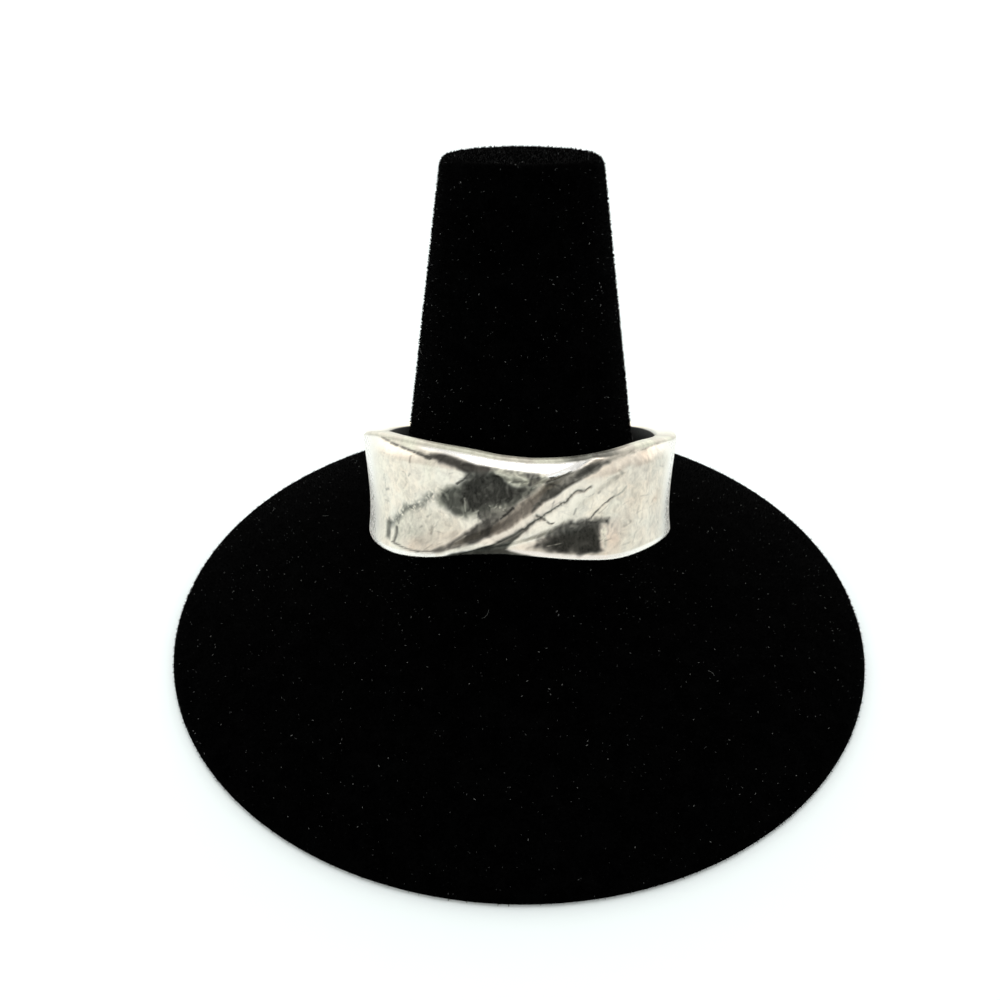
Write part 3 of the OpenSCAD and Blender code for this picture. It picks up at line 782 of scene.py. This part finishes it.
# The lip is polished by wear between the crease and a dull rim, with its highlight painted in as a bright
# untarnished colour, and dull where it leaves the front.
above_lip = z - np.interp(t, LIP_LOW[:, 0], LIP_LOW[:, 1]) + 0.4 * wobble
lip_polish_and_highlight = ease(-0.12, 0.12, above_lip) * ease(-43, -33, t) * (1 - ease(26, 36, t))
tarnish_and_shade, polish_and_highlight = mix(tarnish_and_shade, 0, lip_polish_and_highlight), mix(polish_and_highlight, 1, lip_polish_and_highlight)
above_left, above_right = (z - np.interp(t, *zip(*line)) for line in (CREASE_LEFT_SHADE, CREASE_RIGHT_SHADE))
lip_left = ease(-0.05, 0.08, above_left) * ease(-70, -62, t) * (1 - ease(-44, -36, t))
lip_right = ease(-0.05, 0.08, above_right) * ease(44, 50, t) * (1 - ease(66, 75, t))
near_top = (section_rows == 4) * ease(-0.32, -0.20, z - top_z(t) + 0.4 * wobble)
rim_top = np.maximum(section_rows <= 3, near_top) * (section_rows > 0) * (1 - ease(75, 110, abs(t)))
# The dull top of the band is darker between about 11 and 42 degrees, a painted reflection of the black post
# behind it.
rim_tone_and_reflection = 0.22 + 0.42 * ease(11, 20, t) * (1 - ease(30, 42, t))
for cover, level in ((lip_left, 0.17), (lip_right, 0.2), (rim_top, rim_tone_and_reflection)):
    cover = cover * (section_rows > 0)
    tarnish_and_shade = mix(tarnish_and_shade, level + 0.12 * (smear - 0.5) + 0.10 * (blotch - 0.5), cover)
    warmth, polish_and_highlight = mix(warmth, 0.25 + 0.5 * (blotch - 0.5), cover), mix(polish_and_highlight, 0, cover)
    dull = np.maximum(dull, 0.7 * cover)
# The wall of the hole is painted dark, a painted reflection of the black post and flock inside it.
tarnish_and_shade = np.where(section_rows == 0, 1.1, np.clip(tarnish_and_shade, 0, 0.95))
polish_and_highlight = np.where(section_rows == 0, 0, np.clip(polish_and_highlight, 0, 1))
film_and_shade = np.stack([tarnish_and_shade, np.clip(warmth, 0, 1), polish_and_highlight, 1 + 0 * t], -1)
film_values = ring.data.color_attributes.new("film_and_shade", "FLOAT_COLOR", "POINT")
film_values.data.foreach_set("color", film_and_shade.reshape(-1).astype(np.float32))
dull_values = ring.data.attributes.new("dull", "FLOAT", "POINT")
dull_values.data.foreach_set("value", dull.reshape(-1).astype(np.float32))

silver = new_finish("silver_with_painted_shade")
silver_tree = silver.node_tree
film_color = add_node(silver_tree, "ShaderNodeVertexColor", layer_name="film_and_shade").outputs["Color"]
film_parts = add_node(silver_tree, "ShaderNodeSeparateColor", {0: film_color}).outputs
dull_value = add_node(silver_tree, "ShaderNodeAttribute", attribute_name="dull").outputs["Fac"]
silver_place = add_node(silver_tree, "ShaderNodeTexCoord").outputs["Object"]
# The brush marks run up the band, so their pattern is turned with the ring and drawn out along its axis.
brush_place = add_node(silver_tree, "ShaderNodeMapping", {
    "Vector": silver_place, "Rotation": (math.radians(ring_tilt), 0, 0), "Scale": (6000, 6000, 2600),
}).outputs["Vector"]
brush = add_node(silver_tree, "ShaderNodeTexNoise", {
    "Vector": brush_place, "Scale": 1, "Detail": 4, "Roughness": 0.6,
}).outputs["Fac"]
grit = add_math(silver_tree, "ADD", brush, add_mottle(silver_tree, silver_place, 2600, 8000))
fine_grit = add_math(silver_tree, "SUBTRACT", grit, 1.0)
darkness = add_math(silver_tree, "MULTIPLY_ADD", fine_grit, 0.14, film_parts["Red"])
silver_tone = add_ramp(silver_tree, darkness, [
    (0, (0.90, 0.845, 0.73)), (0.25, (0.54, 0.50, 0.43)), (0.5, (0.25, 0.235, 0.205)),
    (0.75, (0.092, 0.087, 0.078)), (0.95, (0.037, 0.0355, 0.0315)), (1, (0.008, 0.008, 0.0075)),
])
silver_tint = add_ramp(silver_tree, film_parts["Green"], [
    (0, (0.92, 1.0, 0.95)), (0.5, (1, 1, 1)), (0.75, (1.04, 0.985, 0.955)), (1, (1.16, 0.97, 0.88)),
])
tinted = add_node(silver_tree, "ShaderNodeMix", {
    "Factor": 1, "A": silver_tone, "B": silver_tint,
}, data_type="RGBA", blend_type="MULTIPLY")
polished_and_highlit = add_node(silver_tree, "ShaderNodeMix", {
    "Factor": film_parts["Blue"], "A": tinted.outputs["Result"], "B": (0.97, 0.965, 0.95, 1),
}, data_type="RGBA")
satin = add_math(silver_tree, "MULTIPLY_ADD", film_parts["Blue"], -0.25, 0.42)
brushed = add_math(silver_tree, "SUBTRACT", brush, 0.5)
silver_bump = add_node(silver_tree, "ShaderNodeBump", {"Strength": 0.35, "Distance": 0.00003, "Height": grit})
shade(silver, {
    "Base Color": polished_and_highlit.outputs["Result"], "Metallic": add_math(silver_tree, "SUBTRACT", 1.0, dull_value),
    "Roughness": add_math(silver_tree, "MULTIPLY_ADD", brushed, 0.25, satin),
    "Normal": silver_bump.outputs["Normal"],
})
ring.data.materials.append(silver)
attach(ring, "root")
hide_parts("ring")


# The pile. Short nylon fibres, shot on end into the glue and leaning at random. They are pressed flat under
# the foot and where the ring touches, so they stop short of both. Each is a thin cone grown on the skin.
def growth(name, sizes):
    """A tree of nodes that grows things on the stand's skin, given the ring, a finish, sizes and a seed."""
    kinds = {"Ring": "NodeSocketObject", "Finish": "NodeSocketMaterial", "Seed": "NodeSocketInt"}
    tree = bpy.data.node_groups.new(name, "GeometryNodeTree")
    for way in ("INPUT", "OUTPUT"):
        tree.interface.new_socket("Geometry", in_out=way, socket_type="NodeSocketGeometry")
    for label in ("Ring", "Finish", *sizes, "Seed"):
        kind = kinds.get(label, "NodeSocketFloat")
        tree.interface.new_socket(label, in_out="INPUT", socket_type=kind)
    return tree


def grow_node(kind, inputs=(), **settings):
    return add_node(grow_tree, kind, inputs, **settings)


def grow_math(kind, *values):
    return add_math(grow_tree, kind, *values)


def grow_compare(a, kind, b):
    return grow_node("FunctionNodeCompare", {0: a, 1: b}, operation=kind).outputs[0]


def grow_random(low, high, seed):
    kind = "FLOAT_VECTOR" if isinstance(low, tuple) else "FLOAT"
    limits = {"Min": low, "Max": high, "Seed": seed}
    return grow_node("FunctionNodeRandomValue", limits, data_type=kind).outputs["Value"]


def grow_vector(x, y, z):
    return grow_node("ShaderNodeCombineXYZ", {"X": x, "Y": y, "Z": z}).outputs[0]


def grow_turn(rotation, angles):
    """A rotation that is turned further about its own axes."""
    turn = grow_node("FunctionNodeEulerToRotation", {0: angles}).outputs[0]
    both = {"Rotation": rotation, "Rotate By": turn}
    return grow_node("FunctionNodeRotateRotation", both, rotation_space="LOCAL").outputs[0]


def part_number():
    stored = grow_node("GeometryNodeInputNamedAttribute", {"Name": "part"}, data_type="FLOAT")
    return stored.outputs["Attribute"]


def scattered(given, chosen, density):
    """Points strewn on the chosen faces of the skin, away from the ring, and how each one stands there."""
    strewn = grow_node("GeometryNodeDistributePointsOnFaces", {
        "Mesh": given["Geometry"], "Selection": chosen, "Density": density, "Seed": given["Seed"],
    }, distribute_method="RANDOM")
    ring_mesh = grow_node("GeometryNodeObjectInfo", {"Object": given["Ring"]}).outputs["Geometry"]
    ring_gap = grow_node("GeometryNodeProximity", {0: ring_mesh}, target_element="FACES").outputs["Distance"]
    close = grow_compare(ring_gap, "LESS_THAN", given["Clearance"])
    far = grow_node("GeometryNodeDeleteGeometry", {"Geometry": strewn.outputs["Points"], "Selection": close},
                    domain="POINT")
    return far.outputs[0], strewn.outputs["Rotation"]


def placed(points, shape, rotation, size):
    """A copy of a shape on each point, as real geometry."""
    copies = grow_node("GeometryNodeInstanceOnPoints", {
        "Points": points, "Instance": shape, "Rotation": rotation, "Scale": size,
    })
    return grow_node("GeometryNodeRealizeInstances", {"Geometry": copies.outputs[0]}).outputs[0]


def finish_tree(given, geometry):
    """Gives the tree's geometry its finish and leads it out."""
    finished = grow_node("GeometryNodeSetMaterial", {"Geometry": geometry, "Material": given["Finish"]})
    grow_tree.links.new(finished.outputs[0], grow_node("NodeGroupOutput").inputs[0])


def grown(name, tree, values):
    """A plain mesh of what a tree of nodes grows on the stand's skin."""
    host = bpy.data.objects.new(name + "_host", stand.data)
    scene.collection.objects.link(host)
    nodes_here = host.modifiers.new("grow", "NODES")
    nodes_here.node_group = tree
    sockets = {item.name: item.identifier for item in tree.interface.items_tree if item.in_out == "INPUT"}
    for key, value in values.items():
        nodes_here[sockets[key]] = value
    mesh = bpy.data.meshes.new_from_object(host.evaluated_get(bpy.context.evaluated_depsgraph_get()))
    mesh.name = name
    host.modifiers.remove(nodes_here)
    bpy.data.objects.remove(host)
    piece = bpy.data.objects.new(name, mesh)
    scene.collection.objects.link(piece)
    return piece


any_way_low, any_way_high = (0, 0, -math.pi), (0, 0, math.pi)
pile_tree = grow_tree = growth("pile", ("Low", "High", "Density", "Length", "Thickness", "Lean", "Clearance"))
pile_in = grow_node("NodeGroupInput").outputs
above = grow_compare(part_number(), "GREATER_EQUAL", pile_in["Low"])
below = grow_compare(part_number(), "LESS_THAN", pile_in["High"])
chosen = grow_node("FunctionNodeBooleanMath", {0: above, 1: below}, operation="AND").outputs[0]
roots, upright = scattered(pile_in, chosen, pile_in["Density"])
named = grow_node("GeometryNodeStoreNamedAttribute", {
    "Geometry": roots, "Name": "fibre", "Value": grow_random(0.0, 1.0, 5),
}, data_type="FLOAT", domain="POINT")
spike = grow_node("GeometryNodeMeshCone", {
    "Vertices": 3, "Radius Top": 0.0, "Radius Bottom": 1.0, "Depth": 1.0,
}, fill_type="NGON")
spun = grow_turn(upright, grow_random(any_way_low, any_way_high, 6))
lean_here = grow_math("MULTIPLY", grow_random(0.0, 1.0, 7), pile_in["Lean"])
leaning = grow_turn(spun, grow_vector(lean_here, 0.0, 0.0))
tall = grow_math("MULTIPLY", pile_in["Length"], grow_random(0.55, 1.25, 8))
fibre_size = grow_vector(pile_in["Thickness"], pile_in["Thickness"], tall)
finish_tree(pile_in, placed(named.outputs[0], spike.outputs["Mesh"], leaning, fibre_size))
for name, low, high, density, seed in (("base_pile", 0.5, 1.5, 20e6, 1), ("post_pile", 1.5, 2.5, 30e6, 2)):
    pile = grown(name, pile_tree, {
        "Ring": ring, "Finish": flock, "Low": low, "High": high, "Density": density, "Length": 0.15 * mm,
        "Thickness": 0.034 * mm, "Lean": math.radians(50), "Clearance": 0.5 * mm, "Seed": seed,
    })
    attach(pile, "root")


# Lint. A few pale fibres and specks of dust that cling to the flock, in patches, and more of them where the
# flock turns to the left and right, which also paints a sheen along the stand's sides. Each is a short bent
# thread of three sides, laid along the pile.
lint_dust = new_finish("lint")
shade(lint_dust, {"Base Color": (0.10, 0.103, 0.10, 1), "Roughness": 0.9, "Specular IOR Level": 0.1})
lint_tree = grow_tree = growth("lint", ("Density", "Length", "Thickness", "Bend", "Clearance"))
lint_in = grow_node("NodeGroupInput").outputs
patches = grow_node("ShaderNodeTexNoise", {"Scale": 180.0, "Detail": 2.0}).outputs["Fac"]
patchy = grow_node("ShaderNodeMapRange", {
    "Value": patches, "From Min": 0.42, "From Max": 0.68, "To Min": 0.0, "To Max": 2.5,
}).outputs[0]
normal = grow_node("GeometryNodeInputNormal").outputs[0]
facing = grow_node("ShaderNodeSeparateXYZ", {0: normal}).outputs["X"]
lint_and_sheen_crowding = grow_math("ADD", patchy, grow_math("MULTIPLY", grow_math("ABSOLUTE", facing), 2.0))
off_foot = grow_compare(part_number(), "GREATER_THAN", 0.5)
dots, flat = scattered(lint_in, off_foot, grow_math("MULTIPLY", lint_in["Density"], lint_and_sheen_crowding))
bent = grow_vector(0.0, lint_in["Bend"], 0.12)
thread = grow_node("GeometryNodeCurveQuadraticBezier", {
    "Resolution": 6, "Start": (-0.5, 0, 0.10), "Middle": bent, "End": (0.5, 0.1, 0.06),
})
across = grow_node("GeometryNodeCurvePrimitiveCircle", {"Resolution": 3, "Radius": lint_in["Thickness"]})
length_here = grow_math("MULTIPLY", lint_in["Length"], grow_random(0.3, 1.0, 11))
laid = grow_turn(flat, grow_random(any_way_low, any_way_high, 12))
paths = placed(dots, thread.outputs[0], laid, grow_vector(length_here, length_here, lint_in["Length"]))
finish_tree(lint_in, grow_node("GeometryNodeCurveToMesh", {
    "Curve": paths, "Profile Curve": across.outputs[0], "Fill Caps": True,
}).outputs[0])
for name, density, length, thickness, bend, seed in (
        ("lint_threads", 3e3, 1.1, 0.014, 0.35, 5), ("lint_specks", 9e4, 0.15, 0.030, 0.1, 4)):
    lint = grown(name, lint_tree, {
        "Ring": ring, "Finish": lint_dust, "Density": density, "Length": length * mm,
        "Thickness": thickness * mm, "Bend": bend, "Clearance": 0.9 * mm, "Seed": seed,
    })
    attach(lint, "root")
